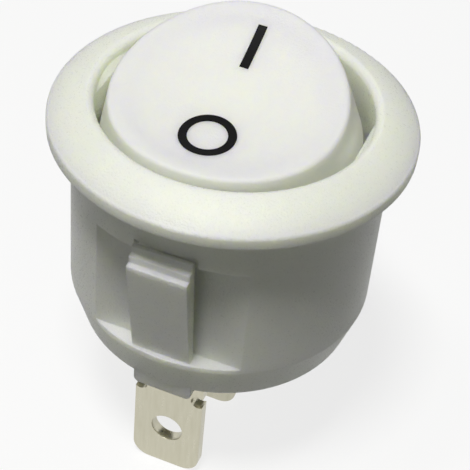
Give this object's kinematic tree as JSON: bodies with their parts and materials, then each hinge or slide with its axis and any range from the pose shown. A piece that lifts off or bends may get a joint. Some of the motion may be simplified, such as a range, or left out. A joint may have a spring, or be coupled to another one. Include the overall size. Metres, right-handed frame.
{
  "type": "panel rocker switch",
  "caption": "Round snap-in panel rocker switch with a tilting button, a see-saw contact and two flat push-on terminals.",
  "frame": {"origin": "centre of the bezel's underside, on the panel's outer face", "axes": "+Z out of the panel along the body, -Y to the O end of the button, X along the pivot"},
  "size_m": [0.023, 0.023, 0.0298],
  "materials": {
    "housing_nylon": "satin, fine moulded grain",
    "button_nylon": "satin, fine moulded grain",
    "plunger_nylon": "smooth moulded",
    "spring_steel": "drawn wire",
    "contact_copper": "rolled strip",
    "contact_silver": "satin silver",
    "tinned_brass": "tinned, satin"
  },
  "bodies": {
    "body": {"housing": "housing_nylon", "common_terminal": "tinned_brass", "load_terminal": "tinned_brass", "fixed_contact_rivet": "contact_silver"},
    "button": {"rocker": "button_nylon", "spring": "spring_steel"},
    "pusher": {"plunger": "plunger_nylon"},
    "see_saw": {"moving_contact": "contact_copper", "moving_contact_rivet": "contact_silver"}
  },
  "joints": [
    {"name": "rocker_tilt", "type": "hinge", "parent": "body", "child": "button", "pos_m": [0, 0, -0.0025], "axis": [-1, 0, 0], "range_deg": [0, 28]},
    {"name": "contact_rock", "type": "hinge", "parent": "body", "child": "see_saw", "pos_m": [0, 0, -0.00833], "axis": [1, 0, 0], "range_deg": [0, 10]},
    {"name": "plunger_slide", "type": "slide", "parent": "button", "child": "pusher", "axis": [0, -0.2419, 0.9703], "range_m": [0, 0.0006], "stiffness_N_per_m": 300, "springref_m": -0.001, "deforming": ["spring"]}
  ],
  "couplings": [
    {"joint": "contact_rock", "follows": "rocker_tilt", "ratio": 0.357}
  ]
}
